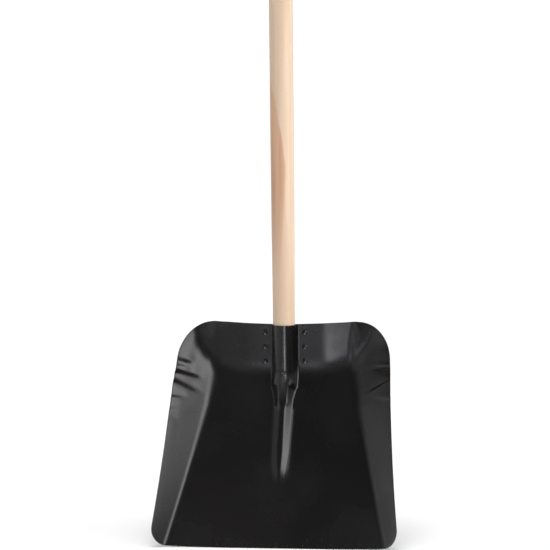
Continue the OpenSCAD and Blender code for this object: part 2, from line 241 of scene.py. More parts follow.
def crest_at(s):
    """Height of the raised middle line: the ridge, running into the socket."""
    ridge = mix(RIDGE_END_H, RIDGE_H, np.clip((s - GROW_FROM) / GROW_LEN, 0, 1))
    ridge = ridge * ease((s - RIDGE_FROM) / (RIDGE_FULL - RIDGE_FROM))
    drop = DROP_SLOPE * np.maximum(DROP_FROM - s, 0)
    socket = (centre_line(s)[0] - CREST_Y) / np.cos(lean_at(s)) - drop
    return np.where(s < RIDGE_FROM, 0, smooth_max(socket, ridge, NOSE_BLEND))


def flank_shape(t, top, foot, blend):
    """Height share of a flat-topped bump: 1 up to about top, 0 from about foot, round between."""
    v = (foot - t) / (foot - top)
    v = -smooth_max(-v, -np.ones_like(v), blend)
    return smooth_max(v, np.zeros_like(v), blend)


def ridge_section(q, s):
    """The ridge's low trapezoid, growing into the steep-sided nose of the socket."""
    front = ease((s - WIDEN_FROM) / WIDEN_LEN)
    nose = ease((s - NOSE_FROM) / (NOSE_TO - NOSE_FROM))
    low_w = mix(RIDGE_END_W, RIDGE_W, front)
    high_w = mix(NOSE_TIP_W, NOSE_W, ease((s - NOSE_TO) / (TUBE_TO - NOSE_TO)))
    top = mix(mix(RIDGE_END_TOP, RIDGE_TOP, front), NOSE_TOP, nose)
    foot = mix(RIDGE_FOOT, NOSE_FOOT, nose)
    blend = mix(RIDGE_ROUND, NOSE_ROUND, nose)
    height = crest_at(s) * flank_shape(q, top, foot, blend)
    return mix(low_w, high_w, nose) * q, np.where(q >= 1, 0, height)


def tube_section(q, s):
    """The socket's half round, standing on short flanks with a fillet at each foot."""
    fillet = SOCKET_FILLET
    crest = crest_at(s)
    flank = np.maximum(fillet, (centre_line(s)[0] - AXIS_Y) / np.cos(lean_at(s)))
    a = np.clip(q / ARC_SHARE, 0, 1) * math.pi / 2
    b = np.clip((q - ARC_SHARE) / (1 - ARC_SHARE), 0, 1) * math.pi / 2
    on_arc = q <= ARC_SHARE
    x = np.where(on_arc, SOCKET_R * np.sin(a), SOCKET_R + fillet * (1 - np.cos(b)))
    return x, np.where(on_arc, flank + (crest - flank) * np.cos(a), fillet * (1 - np.sin(b)))


def raised_section(q, s):
    """Half section of the raised line as (x, height); q runs from the crest to the foot."""
    m = ease((s - TUBE_FROM) / (TUBE_TO - TUBE_FROM))
    tube_x, tube_h = tube_section(q, s)
    ridge_x, ridge_h = ridge_section(q, s)
    return mix(ridge_x, tube_x, m), mix(ridge_h, tube_h, m)


# ---------------------------------------------------------------- the unevenness of pressed sheet
# Press buckles near the side rims. In each, the sheet rolls up on one flank and down on the other;
# a negative height makes the flank nearer the cutting edge the high one. The columns: side,
# place along the blade at the rim, slant, half-width, reach inwards, height. Lengths are in mm.
BUCKLES = [
    (-1, 315.0, -0.42, 7.5, 30, -1.6),
    (-1, 302.0, -0.29, 4.0, 24, -0.6),
    (-1, 284.5, -0.16, 8.0, 46, -1.9),
    (-1, 265.0, -0.29, 8.5, 48, -2.1),
    (-1, 237.5, 0.10, 4.6, 26, -0.75),
    (-1, 216.0, 0.60, 9.0, 44, -1.0),
    (-1, 199.0, 0.10, 3.6, 16, -0.55),
    (1, 301.5, 0.02, 3.6, 34, 0.45),
    (1, 268.5, -0.33, 2.0, 44, -0.6),
    (1, 234.5, 0.37, 4.6, 34, 0.45),
]
BUCKLE_FADE = 0.6
WAVE_X, WAVE_S = 190 * MM, 370 * MM
SLOW_WAVE, FAST_WAVE = 0.22 * MM, 0.05 * MM
WAVY_FROM, WAVY_OVER = 24 * MM, 40 * MM


def buckle_height(side, x, s):
    inward = np.maximum(rim_at(s) - x, 0)
    total = np.zeros_like(x)
    for where, at, slant, half_width, reach, height in BUCKLES:
        across = (s - (at * MM + slant * inward)) / (half_width * MM)
        roll = 2 * across / (1 + across * across)
        fade = ease((1 - inward / (reach * MM)) / BUCKLE_FADE) * (side == where)
        total = total + height * MM * roll * fade
    return total


def waviness(side, x, s):
    """Two crossed sets of shallow waves, slow and fast, with uneven steps so as not to repeat."""
    u, v = side * x / WAVE_X, s / WAVE_S
    slow = np.sin(7.1 * u + 2.3 * v + 0.4) * np.sin(5.3 * v - 1.9 * u + 1.1)
    fast = np.sin(17.0 * u - 9.0 * v + 2.0) * np.sin(13.0 * v + 11.0 * u + 0.3)
    return (SLOW_WAVE * slow + FAST_WAVE * fast) * np.clip((x - WAVY_FROM) / WAVY_OVER, 0, 1)


# ---------------------------------------------------------------- the blade's grid of points
# From the middle outwards, a half row crosses four zones, each with its number of columns
RAISED, FLAT, BEND, WALL = 0, 1, 2, 3
COLUMNS = ((RAISED, 44), (FLAT, 16), (BEND, 22), (WALL, 40))
TRIM_FROM = 12 * MM


def blade_columns():
    """Zone, place within the zone and side of each column, from the left rim to the right."""
    half = []
    for zone, count in COLUMNS:
        half += [(zone, k / count) for k in range(0 if zone == RAISED else 1, count + 1)]
    zone = np.array([column[0] for column in half])
    t = np.array([column[1] for column in half])
    zone = np.concatenate([zone[:0:-1], zone])
    t = np.concatenate([t[:0:-1], t])
    side = np.where(np.arange(len(t)) < (len(t) - 1) / 2, -1.0, 1.0)
    return zone, t, side


def blade_rows():
    """Lengths along the blade, closer together where the surface turns."""
    corner = BLADE_LEN - BACK_R
    rows = [FRONT_R * (1 - np.cos(np.linspace(0, math.pi / 2, 15)))]
    start = FRONT_R
    for end, count in ((RIDGE_FROM, 20), (NOSE_FROM, 46), (TUBE_FROM, 24), (BEND_START, 16), (corner, 34)):
        rows.append(np.linspace(start, end, count)[1:])
        start = end
    rows.append(BLADE_LEN - BACK_R * (1 - np.sin(np.linspace(0, math.pi / 2, 46)[1:])))
    return np.concatenate(rows)


def column_x(zone, t, s):
    """Distance from the middle of a column outside the raised line, drawn in at the corners."""
    reach = bend_reach(s)
    turn = side_bend(s) * np.sin(np.arctan(slope_at(s)))
    foot = raised_section(np.ones_like(s), s)[0]
    flat = mix(foot, crease_at(s) - reach, t)
    bend = crease_at(s) - reach + turn * t
    wall = mix(crease_at(s) - reach + turn, rim_plain(s), t)
    x = np.where(zone == FLAT, flat, np.where(zone == BEND, bend, wall))
    start = np.where(s < BLADE_LEN / 2, crease_at(s) + reach, foot + TRIM_FROM)
    share = np.clip((x - start) / (rim_plain(s) - start), 0, 1)
    return x - (rim_plain(s) - rim_at(s)) * share


def blade_grid():
    """Mid-surface points, as rows along the blade and columns across it."""
    zone, t, side = blade_columns()
    s, zone = np.meshgrid(blade_rows(), zone, indexing="ij")
    t = np.broadcast_to(t, s.shape)
    side = np.broadcast_to(side, s.shape)
    raised_x, raised_h = raised_section(t, s)
    outer_x = column_x(zone, t, s)
    x = np.where(zone == RAISED, raised_x, outer_x)
    h = np.where(zone == RAISED, raised_h, wall_rise(outer_x, s))
    h = h + buckle_height(side, x, s) + waviness(side, x, s) * (zone != RAISED)
    return blade_point(side, x, h, s + stretch(x, s))


def grid_normals(p):
    up = np.empty_like(p)
    across = np.empty_like(p)
    up[1:-1], up[0], up[-1] = p[2:] - p[:-2], p[1] - p[0], p[-1] - p[-2]
    across[:, 1:-1] = p[:, 2:] - p[:, :-2]
    across[:, 0], across[:, -1] = p[:, 1] - p[:, 0], p[:, -1] - p[:, -2]
    n = np.cross(across, up)
    return n / np.linalg.norm(n, axis=-1, keepdims=True)


# ---------------------------------------------------------------- mesh building
# How far a sheet's edge bulges, as a share of half its thickness, and how many degrees
# before its edge a screw or rivet head's dome gives way to the rounded lip
EDGE_BULGE = 0.5
DOME_STOP = 3


def make_object(name, verts, faces, smooth=True):
    mesh = bpy.data.meshes.new(name)
    mesh.from_pydata([tuple(v) for v in verts], [], [tuple(int(i) for i in f) for f in faces])
    mesh.validate()
    mesh.update()
    if smooth:
        mesh.shade_smooth()
    else:
        mesh.shade_flat()
    obj = bpy.data.objects.new(name, mesh)
    bpy.context.scene.collection.objects.link(obj)
    return obj


def border(rows, cols):
    """Numbers of a grid's outermost points, once round."""
    loop = list(range(cols))
    loop += [i * cols + cols - 1 for i in range(1, rows)]
    loop += [(rows - 1) * cols + j for j in range(cols - 2, -1, -1)]
    loop += [i * cols for i in range(rows - 2, 0, -1)]
    return np.array(loop)


def sheet_object(name, mid, thickness):
    """A closed sheet with rounded edges, from a grid of mid-surface points."""
    rows, cols = mid.shape[:2]
    half = thickness / 2
    n = grid_normals(mid).reshape(-1, 3)
    flat = mid.reshape(-1, 3)
    loop = border(rows, cols)
    along = flat[np.roll(loop, -1)] - flat[np.roll(loop, 1)]
    out = np.cross(along, n[loop])
    out /= np.linalg.norm(out, axis=1, keepdims=True)
    bulge = flat[loop] + out * half * EDGE_BULGE
    verts = np.concatenate([flat + n * half, flat - n * half, bulge])
    count = rows * cols
    faces = []
    for i in range(rows - 1):
        for j in range(cols - 1):
            a, b, c, d = i * cols + j, i * cols + j + 1, (i + 1) * cols + j + 1, (i + 1) * cols + j
            faces.append((a, b, c, d))
            faces.append((count + a, count + d, count + c, count + b))
    for k in range(len(loop)):
        m = (k + 1) % len(loop)
        a, b = loop[k], loop[m]
        p, q = 2 * count + k, 2 * count + m
        faces.append((a, p, q, b))
        faces.append((count + a, count + b, q, p))
    return make_object(name, verts, faces)


def ring_faces(rings, sides):
    """Faces round a stack of rings of points, closed at both ends."""
    faces = []
    for k in range(rings - 1):
        for j in range(sides):
            m = (j + 1) % sides
            faces.append((k * sides + j, k * sides + m, (k + 1) * sides + m, (k + 1) * sides + j))
    faces.append(tuple(range(sides - 1, -1, -1)))
    faces.append(tuple(range((rings - 1) * sides, rings * sides)))
    return faces


def turned_object(name, outline, sides, x, y, z):
    """A solid turned about a line along y, from (radius, height) points; heights count to the front."""
    angles = np.linspace(0, 2 * math.pi, sides, endpoint=False)
    verts = [(x + r * math.cos(a), y - h, z + r * math.sin(a)) for r, h in outline for a in angles]
    return make_object(name, verts, ring_faces(len(outline), sides))


def arc(cx, cy, r, a0, a1, count):
    angles = np.radians(np.linspace(a0, a1, count))
    return [(cx + r * math.cos(a), cy + r * math.sin(a)) for a in angles]


def dome_arc(head_r, height, count):
    """A head's round top as (radius, height), from just inside its edge to near the middle."""
    ball_r = (head_r ** 2 + height ** 2) / (2 * height)
    start = math.degrees(math.asin(head_r / ball_r)) - DOME_STOP
    angles = np.radians(np.linspace(start, 0, count)[:-1])
    return [(ball_r * math.sin(a), height - ball_r * (1 - math.cos(a))) for a in angles]


# ---------------------------------------------------------------- the pieces
RIVET_HEAD_R, RIVET_DOME = 4.5 * MM, 2.1 * MM


def build_blade():
    return sheet_object("pressed_blade", blade_grid(), SHEET)


def plate_section(half_w):
    """Across the plate as (x, y): flange, fillet, channel round the handle, fillet, flange."""
    channel_r = SOCKET_R + 0.25 * MM
    flange_y = WALL_Y + SHEET / 2 + PLATE / 2 + 0.05 * MM
    depth = flange_y - AXIS_Y
    fillet = 3 * MM
    # The fillet's circle touches both the channel's circle and the flange's line
    centre_x = math.sqrt((channel_r + fillet) ** 2 - (depth + fillet) ** 2)
    open_angle = math.degrees(math.atan2(depth + fillet, centre_x))
    half = arc(0, AXIS_Y, channel_r, 90, open_angle, 20)
    half += arc(centre_x, flange_y + fillet, fillet, 180 + open_angle, 270, 8)[1:]
    half += [(mix(centre_x, half_w, k / 8), flange_y) for k in range(1, 9)]
    return np.array([(-x, y) for x, y in half[:0:-1]] + half)


def build_back_plate():
    """A formed strip behind the back wall, with its two lower corners rounded."""
    low, high = plate_lo.z, plate_hi.z
    half_w = (plate_hi.x - plate_lo.x) / 2
    corner = 8 * MM
    section = plate_section(half_w)
    turn = np.linspace(0, math.pi / 2, 9)
    heights = np.concatenate([low + corner * (1 - np.cos(turn)), np.linspace(low + corner, high, 24)[1:]])
    grid = np.empty((len(heights), len(section), 3))
    for i, z in enumerate(heights):
        cut = corner * corner_cut(np.clip(1 - (z - low) / corner, 0, 1))
        start = half_w - 2 * corner
        share = np.clip((np.abs(section[:, 0]) - start) / (half_w - start), 0, 1)
        x = np.sign(section[:, 0]) * (np.abs(section[:, 0]) - cut * share)
        grid[i] = np.stack([x, section[:, 1], np.full(len(x), z)], 1)
    return sheet_object("back_plate", grid[:, ::-1], PLATE)


def build_rivet(name, x, z):
    """Flat closing head behind the plate, shank, and a domed head in front."""
    y_line, z_line = centre_line(np.linspace(BEND_START, BLADE_LEN, 200))
    front = np.interp(z - RIVET_HEAD_R, z_line, y_line) - SHEET / 2
    depth = WALL_Y + SHEET / 2 + PLATE + 0.1 * MM - front
    middle, shank_r, lip = 0.12 * MM, 2.5 * MM, 0.35 * MM
    tail_r, tail_back_r, tail_h, tail_crown = 3.9 * MM, 3.8 * MM, 1.7 * MM, 0.05 * MM
    tail_edge, tail_round = 0.3 * MM, 0.8 * MM
    outline = [(middle, -depth - tail_h - tail_crown)]
    outline += arc(tail_back_r - tail_round, -depth - tail_h + tail_round, tail_round, -90, 0, 6)
    outline += arc(tail_r - tail_edge, -depth - tail_edge, tail_edge, 0, 90, 4)
    outline += [(shank_r, -depth), (shank_r, 0)]
    outline += arc(RIVET_HEAD_R - lip, lip, lip, -90, 35, 6)
    outline += dome_arc(RIVET_HEAD_R, RIVET_DOME, 12)
    outline += [(middle, RIVET_DOME)]
    return turned_object(name, outline, 40, x, front, z)


def build_rivets():
    half = (rivet_hi.x - rivet_lo.x) / 2 - RIVET_HEAD_R
    high, low = rivet_hi.z - RIVET_HEAD_R, rivet_lo.z + RIVET_HEAD_R
    pieces = []
    for side, word in ((-1, "left"), (1, "right")):
        for row in range(3):
            z = mix(high, low, row / 2)
            pieces.append(build_rivet(f"rivet_{word}_{row + 1}", side * half, z))
    return pieces


def handle_outline():
    """The shaft as (radius, z): bevelled hidden end, taper up from the socket, rounded top."""
    bottom, top = handle_lo.z, handle_hi.z
    neck_r, tail_r, round_r, middle = 17.5 * MM, 16.3 * MM, 12 * MM, 4 * MM
    bevel, bevel_slope = 1.5 * MM, 0.8
    full_z = RIM_Z + 230 * MM
    stations = [bottom, bottom + bevel / 3, bottom + bevel]
    stations += list(np.linspace(bottom + 4 * MM, RIM_Z, 26))
    stations += list(np.linspace(RIM_Z, full_z, 30)[1:])
    stations += list(np.linspace(full_z, top - round_r, 90)[1:])
    outline = []
    for z in stations:
        r = np.interp(z, [bottom, RIM_Z, full_z, top], [tail_r, neck_r, HANDLE_R, HANDLE_R])
        outline.append((r - max(bottom + bevel - z, 0) * bevel_slope, z))
    outline += arc(HANDLE_R - round_r, top - round_r, round_r, 0, 84, 14)[1:]
    outline += [(HANDLE_R - round_r, top), (middle, top)]
    return outline


def build_handle():
    """The turned shaft, with the slight unevenness of sanded wood."""
    sway, ripple, smallest_r = 0.12 * MM, 0.06 * MM, 0.5 * MM
    cut_c, cut_s = math.cos(LEAN), math.sin(LEAN)
    limit = SHEET / 2 + 0.6 * MM
    sides = 96
    angles = np.linspace(0, 2 * math.pi, sides, endpoint=False)
    outline = handle_outline()
    verts = []
    for r, z in outline:
        for a in angles:
            uneven = sway * math.sin(9 * z + 1.3 * math.sin(a)) + ripple * math.sin(41 * z + 2 * a)
            r_here = max(r + uneven - sway - ripple, smallest_r)
            y = AXIS_Y + r_here * math.sin(a)
            # The hidden end is cut off flush with the underside of the pan
            past = y * cut_c - z * cut_s - limit
            if past > 0:
                y -= past / cut_c
            verts.append((r_here * math.cos(a), y, z))
    return make_object("wooden_handle", verts, ring_faces(len(outline), sides))


def build_screw():
    """A round-head screw with its plain shank and blunt point."""
    x, z = (screw_lo.x + screw_hi.x) / 2, (screw_lo.z + screw_hi.z) / 2
    head_r, head_h, lip = 4.7 * MM, 2.6 * MM, 0.3 * MM
    shank_r, point, middle = 2.1 * MM, 5 * MM, 0.05 * MM
    seat = CREST_Y - SHEET / 2
    tip = seat - screw_hi.y
    outline = [(middle, tip), (shank_r, tip + point), (shank_r, 0)]
    outline += arc(head_r - lip, lip, lip, -90, 35, 6)
    outline += dome_arc(head_r, head_h, 14)
    outline += [(middle, head_h)]
    return turned_object("handle_screw_head", outline, 48, x, seat, z)


# ---------------------------------------------------------------- materials
class Tree:
    """A node tree, with short ways to add the nodes used below."""

    def __init__(self, owner):
        owner.use_nodes = True
        self.nodes = owner.node_tree.nodes
        self.links = owner.node_tree.links

    def put(self, value, socket):
        if isinstance(value, (int, float, tuple)):
            socket.default_value = value
        else:
            self.links.new(value, socket)

    def split(self, vector):
        node = self.nodes.new("ShaderNodeSeparateXYZ")
        self.put(vector, node.inputs[0])
        return node.outputs["X"], node.outputs["Y"], node.outputs["Z"]

    def math(self, operation, a, b=0.0):
        node = self.nodes.new("ShaderNodeMath")
        node.operation = operation
        self.put(a, node.inputs[0])
        self.put(b, node.inputs[1])
        return node.outputs["Value"]

    def vector(self, operation, a, b=(0, 0, 0)):
        node = self.nodes.new("ShaderNodeVectorMath")
        node.operation = operation
        self.put(a, node.inputs[0])
        self.put(b, node.inputs[1])
        return node.outputs["Vector"]

    def length(self, vector):
        node = self.nodes.new("ShaderNodeVectorMath")
        node.operation = "LENGTH"
        self.put(vector, node.inputs[0])
        return node.outputs["Value"]

    def spread(self, value, low, high, to_low=0.0, to_high=1.0):
        """Smooth step: to_low where the value is low or less, to_high where it is high or more."""
        node = self.nodes.new("ShaderNodeMapRange")
        node.interpolation_type = "SMOOTHSTEP"
        self.put(value, node.inputs["Value"])
        for end, number in (("From Min", low), ("From Max", high), ("To Min", to_low), ("To Max", to_high)):
            node.inputs[end].default_value = number
        return node.outputs["Result"]

    def between(self, share, a, b):
        node = self.nodes.new("ShaderNodeMix")
        self.put(share, node.inputs["Factor"])
        self.put(a, node.inputs["A"])
        self.put(b, node.inputs["B"])
        return node.outputs["Result"]

    def ray(self, kind):
        return self.nodes.new("ShaderNodeLightPath").outputs[kind]


class Shader(Tree):
    """A material's node tree, with its own textures and surface."""

    def __init__(self, name):
        self.mat = bpy.data.materials.new(name)
        super().__init__(self.mat)
        self.bsdf = self.nodes["Principled BSDF"]
        self.place = self.nodes.new("ShaderNodeTexCoord").outputs["Object"]
        self.surface = self.nodes.new("ShaderNodeNewGeometry")

    def noise(self, scale, detail=4.0, stretch=(1, 1, 1)):
        grow = self.nodes.new("ShaderNodeMapping")
        self.put(self.place, grow.inputs["Vector"])
        grow.inputs["Scale"].default_value = stretch
        node = self.nodes.new("ShaderNodeTexNoise")
        node.inputs["Scale"].default_value = scale
        node.inputs["Detail"].default_value = detail
        self.put(grow.outputs["Vector"], node.inputs["Vector"])
        return node.outputs["Fac"]

    def spots(self, scale):
        """Distance to the nearest of many scattered points."""
        node = self.nodes.new("ShaderNodeTexVoronoi")
        node.inputs["Scale"].default_value = scale
        self.put(self.place, node.inputs["Vector"])
        return node.outputs["Distance"]

    def curve(self, value, points):
        node = self.nodes.new("ShaderNodeFloatCurve")
        line = node.mapping.curves[0]
        line.points[0].location = points[0]
        line.points[1].location = points[-1]
        for point in points[1:-1]:
            line.points.new(*point)
        node.mapping.update()
        self.put(value, node.inputs["Value"])
        return node.outputs["Value"]

    def blend(self, share, a, b):
        node = self.nodes.new("ShaderNodeMix")
        node.data_type = "RGBA"
        self.put(share, node.inputs["Factor"])
        self.put((*a, 1) if isinstance(a, tuple) else a, node.inputs["A"])
        self.put((*b, 1) if isinstance(b, tuple) else b, node.inputs["B"])
        return node.outputs["Result"]

    def bump(self, height, depth, strength):
        node = self.nodes.new("ShaderNodeBump")
        node.inputs["Strength"].default_value = strength
        node.inputs["Distance"].default_value = depth
        self.put(height, node.inputs["Height"])
        self.put(node.outputs["Normal"], self.bsdf.inputs["Normal"])

    def finish(self, colour, rough):
        self.put(colour, self.bsdf.inputs["Base Color"])
        self.put(rough, self.bsdf.inputs["Roughness"])
        return self.mat


# The second black is a paler tone, mixed in low down, to the left and in soft clouds.
BLACK, PALER_BLACK, BARE = (0.0042, 0.0036, 0.0039), (0.0125, 0.0112, 0.0116), (0.11, 0.105, 0.1)
STEEL, STEEL_PALE, STEEL_WORN = (0.02, 0.02, 0.021), (0.045, 0.043, 0.042), (0.3, 0.29, 0.29)
SAP, SAP_PALE, SAP_DARK = (0.72, 0.54, 0.39), (0.77, 0.59, 0.445), (0.63, 0.43, 0.285)
HEART, HEART_DARK, PORE = (0.67, 0.41, 0.265), (0.57, 0.33, 0.205), (0.30, 0.19, 0.12)

# How far round the front the heartwood reaches: height above the floor in metres, against
# the share of the shaft's width, 0 at the left edge and 1 at the right.
HEART_EDGE = [(0.0, 0.5), (0.40, 0.54), (0.46, 0.55), (0.51, 0.63), (0.55, 0.68), (0.585, 0.73),
              (0.595, 0.67), (0.62, 0.58), (0.645, 0.47), (0.676, 0.35), (0.70, 0.22), (0.715, 0.1),
              (0.73, 0.0), (1.0, 0.0)]
# Year rings on the top: how far the pith lies to the right and in front of the shaft's axis,
# how much a ring wanders, and the rings' spacing
RING_PITH, RING_WAVE, RING_STEP = (-11 * MM, 30 * MM), 2 * MM, 1.74533 * MM


def paint_paling(sh, cloud, paleness):
    """Paler low down and to the left, in soft clouds with a fine grain."""
    x, _, z = sh.split(sh.place)
    low = sh.math("ADD", sh.spread(z, 0.0, 0.2, 0.42, 0.12), sh.spread(x, -0.03, 0.06, 0.1, -0.16))
    paling = sh.math("MULTIPLY", sh.math("ADD", low, sh.spread(cloud, 0.35, 0.7, -0.06, 0.16)), paleness)
    paling = sh.math("ADD", paling, sh.spread(sh.noise(560, 3), 0.3, 0.7, -0.09, 0.09))
    return sh.math("MAXIMUM", paling, 0.0)


def paint_wear(sh):
    """Fine scratches close to the cutting edge, and rubbed outer corners."""
    scratch = sh.spread(sh.noise(420, 3, (1, 0.25, 0.15)), 0.62, 0.74, 0, 0.16)
    near_edge = sh.spread(sh.split(sh.place)[2], 0.001, 0.025, 1, 0)
    worn = sh.math("MULTIPLY", sh.spread(sh.surface.outputs["Pointiness"], 0.56, 0.72), 0.3)
    return sh.math("MAXIMUM", sh.math("MULTIPLY", scratch, near_edge), worn)


def black_paint(name, rough=0.27, paleness=1.0):
    """Semi-gloss black enamel on pressed steel, with a slight orange peel."""
    sh = Shader(name)
    cloud = sh.noise(9, 5)
    wear = paint_wear(sh)
    colour = sh.blend(wear, sh.blend(paint_paling(sh, cloud, paleness), BLACK, PALER_BLACK), BARE)
    gloss = sh.spread(cloud, 0.3, 0.7, rough - 0.03, rough + 0.05)
    gloss = sh.math("ADD", gloss, sh.math("MULTIPLY", wear, 0.2))
    sh.bump(sh.noise(900, 3), 0.0002, 0.12)
    return sh.finish(colour, gloss)


def heartwood(sh, band):
    """1 on the tongue of heartwood in front and on its strip behind; its edge follows the fibres."""
    x, y, z = sh.split(sh.place)
    around = sh.math("ARCTAN2", x, sh.math("SUBTRACT", AXIS_Y, y))
    across = sh.math("ADD", sh.math("MULTIPLY", sh.math("DIVIDE", x, HANDLE_R), 0.5), 0.5)
    edge = sh.math("SUBTRACT", sh.curve(z, HEART_EDGE), across)
    edge = sh.math("ADD", edge, sh.math("MULTIPLY", sh.math("SUBTRACT", band, 0.5), 0.25))
    facing = sh.math("LESS_THAN", y, AXIS_Y)
    front = sh.math("MULTIPLY", sh.spread(edge, -0.03, 0.05), facing)
    behind = sh.math("MULTIPLY", sh.spread(around, -2.9, -2.3), sh.spread(z, 0.72, 0.60))
    behind = sh.math("MULTIPLY", behind, sh.math("LESS_THAN", x, 0.0))
    behind = sh.math("MULTIPLY", behind, sh.math("SUBTRACT", 1.0, facing))
    return sh.math("MULTIPLY", sh.math("ADD", front, behind), sh.spread(z, 0.34, 0.56))


def pin_marks(sh):
    """Small dark dots, more of them low on the shaft."""
    low = sh.spread(sh.split(sh.place)[2], 0.34, 0.5, 0.55, 0.12)
    return sh.math("MULTIPLY", sh.spread(sh.spots(75), 0.05, 0.02), low)


def end_grain(sh, broad):
    """Year rings on the rounded top, about a pith outside the shaft."""
    x, y, _ = sh.split(sh.place)
    away_x = sh.math("POWER", sh.math("SUBTRACT", x, RING_PITH[0]), 2.0)
    away_y = sh.math("POWER", sh.math("SUBTRACT", y, AXIS_Y - RING_PITH[1]), 2.0)
    radius = sh.math("SQRT", sh.math("ADD", away_x, away_y))
    radius = sh.math("ADD", radius, sh.math("MULTIPLY", broad, RING_WAVE))
    ring = sh.math("SINE", sh.math("MULTIPLY", radius, 2 * math.pi / RING_STEP))
    up = sh.split(sh.surface.outputs["Normal"])[2]
    return sh.math("MULTIPLY", sh.spread(up, 0.7, 0.95), sh.spread(ring, -1, 1, 0.25, 0.75))


def beech_wood(name):
    """Pale sanded beech: long fibres, short dark rays, broad bands and a tongue of heartwood."""
    sh = Shader(name)
    fibre = sh.noise(700, 5, (1, 1, 0.012))
    band = sh.noise(130, 3, (1, 1, 0.03))
    broad = sh.noise(38, 2, (1, 1, 0.06))
    ray = sh.spread(sh.noise(1500, 2, (1, 1, 0.14)), 0.66, 0.72, 0, 0.35)
    colour = sh.blend(sh.spread(band, 0.38, 0.66), SAP, SAP_PALE)
    colour = sh.blend(sh.spread(broad, 0.5, 0.68, 0, 0.5), colour, SAP_DARK)
    brown = sh.blend(sh.spread(band, 0.4, 0.65), HEART, HEART_DARK)
    colour = sh.blend(heartwood(sh, band), colour, brown)
    colour = sh.blend(sh.spread(fibre, 0.5, 0.72, 0, 0.30), colour, SAP_DARK)
    colour = sh.blend(ray, colour, PORE)
    colour = sh.blend(pin_marks(sh), colour, PORE)
    colour = sh.blend(end_grain(sh, broad), colour, SAP_DARK)
    sh.bump(sh.math("SUBTRACT", fibre, sh.math("MULTIPLY", ray, 0.6)), 0.0004, 0.2)
    return sh.finish(colour, sh.spread(fibre, 0.3, 0.7, 0.48, 0.62))


def dark_steel(name):
    """Blackened screw steel with rubbed high spots."""
    sh = Shader(name)
    cloud = sh.noise(420, 4)
    worn = sh.spread(sh.surface.outputs["Pointiness"], 0.52, 0.64, 0, 0.55)
    colour = sh.blend(sh.spread(cloud, 0.4, 0.7), STEEL, STEEL_PALE)
    colour = sh.blend(worn, colour, STEEL_WORN)
    sh.bsdf.inputs["Metallic"].default_value = 0.6
    sh.bump(cloud, 0.0002, 0.3)
    return sh.finish(colour, sh.spread(cloud, 0.3, 0.7, 0.26, 0.42))


def finish_piece(piece, node, material):
    piece.data.materials.clear()
    piece.data.materials.append(material)
    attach(piece, "root")
    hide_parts(node)


paint = black_paint("black_enamel")
rivet_paint = black_paint("black_enamel_on_rivets", rough=0.22, paleness=0.3)
wood = beech_wood("sanded_beech")
finish_piece(build_blade(), "blade", paint)
finish_piece(build_back_plate(), "socket_back_plate", paint)
for rivet in build_rivets():
    finish_piece(rivet, "socket_rivets", rivet_paint)
finish_piece(build_handle(), "handle", wood)
finish_piece(build_screw(), "handle_screw", dark_steel("blackened_steel"))


# ---------------------------------------------------------------- stage, light and camera
SUBJECT = Vector((0, 0.11, 0.22))
# The floor in reflections: how bright close in front, just beyond that and far away
NEAR_GLEAM, RING_GLEAM, FAR_GLEAM = 4.0, 0.16, 0.42
NEAR_RADIUS, FAR_RADIUS, EVEN_RADIUS = 0.25, 0.42, 1.2
NEAR_FRONT, NEAR_BACK = -0.03, 0.02
# The surroundings in reflections: darker high up and to the right
STUDIO_LOW, STUDIO_HIGH, STUDIO_FROM, STUDIO_TO = 0.45, 0.08, 0.25, 0.52
DARK_SIDE, DARK_FROM, DARK_TO, DARK_BEHIND = 0.12, -0.1, 0.4, 2.0
ROOM_LIGHT, BACKDROP = 0.3, 1.1


def direction(azimuth, elevation):
    """Unit vector; azimuth 0 looks from the object towards the viewer's side, + to the right."""
    a, e = math.radians(azimuth), math.radians(elevation)
    return Vector((math.sin(a) * math.cos(e), -math.cos(a) * math.cos(e), math.sin(e)))


def dark_side(tree, vector):
    """DARK_SIDE to the right of the object, seen from the front, fading to 1 all round the rest."""
    level = tree.vector("NORMALIZE", tree.vector("MULTIPLY", vector, (1, 1, 0)))
    x, y, _ = tree.split(level)
    behind = tree.math("MULTIPLY", tree.math("MAXIMUM", y, 0.0), DARK_BEHIND)
    return tree.spread(tree.math("SUBTRACT", x, behind), DARK_FROM, DARK_TO, 1, DARK_SIDE)


def floor_gleam(sh):
    """Brightness of the floor in the paint's reflections: brighter close in front of the shovel."""
    place = sh.surface.outputs["Position"]
    reach = sh.length(place)
    near = sh.spread(reach, NEAR_RADIUS, FAR_RADIUS, 1, 0)
    near = sh.math("MULTIPLY", near, sh.spread(sh.split(place)[1], NEAR_FRONT, NEAR_BACK, 1, 0))
    far = sh.spread(reach, FAR_RADIUS, EVEN_RADIUS, RING_GLEAM, FAR_GLEAM)
    far = sh.math("MULTIPLY", dark_side(sh, place), far)
    far = sh.math("MULTIPLY", far, sh.math("SUBTRACT", 1.0, near))
    return sh.math("ADD", sh.math("MULTIPLY", near, NEAR_GLEAM), far)


def floor_material():
    """Plain and pale, with its own brightness in reflections."""
    sh = Shader("pale_floor")
    sh.bsdf.inputs["Specular IOR Level"].default_value = 0.0
    gleam = sh.nodes.new("ShaderNodeEmission")
    sh.put(floor_gleam(sh), gleam.inputs["Strength"])
    pick = sh.nodes.new("ShaderNodeMixShader")
    sh.put(sh.ray("Is Glossy Ray"), pick.inputs["Fac"])
    sh.put(sh.bsdf.outputs["BSDF"], pick.inputs[1])
    sh.put(gleam.outputs["Emission"], pick.inputs[2])
    sh.put(pick.outputs["Shader"], sh.nodes["Material Output"].inputs["Surface"])
    return sh.finish((0.9, 0.9, 0.9, 1), 0.9)


def build_floor():
    size, z = 60.0, cad_box[0].z
    verts = [(-size, -size, z), (size, -size, z), (size, size, z), (-size, size, z)]
    floor = make_object("floor", verts, [(0, 1, 2, 3)], smooth=False)
    floor.data.materials.append(floor_material())


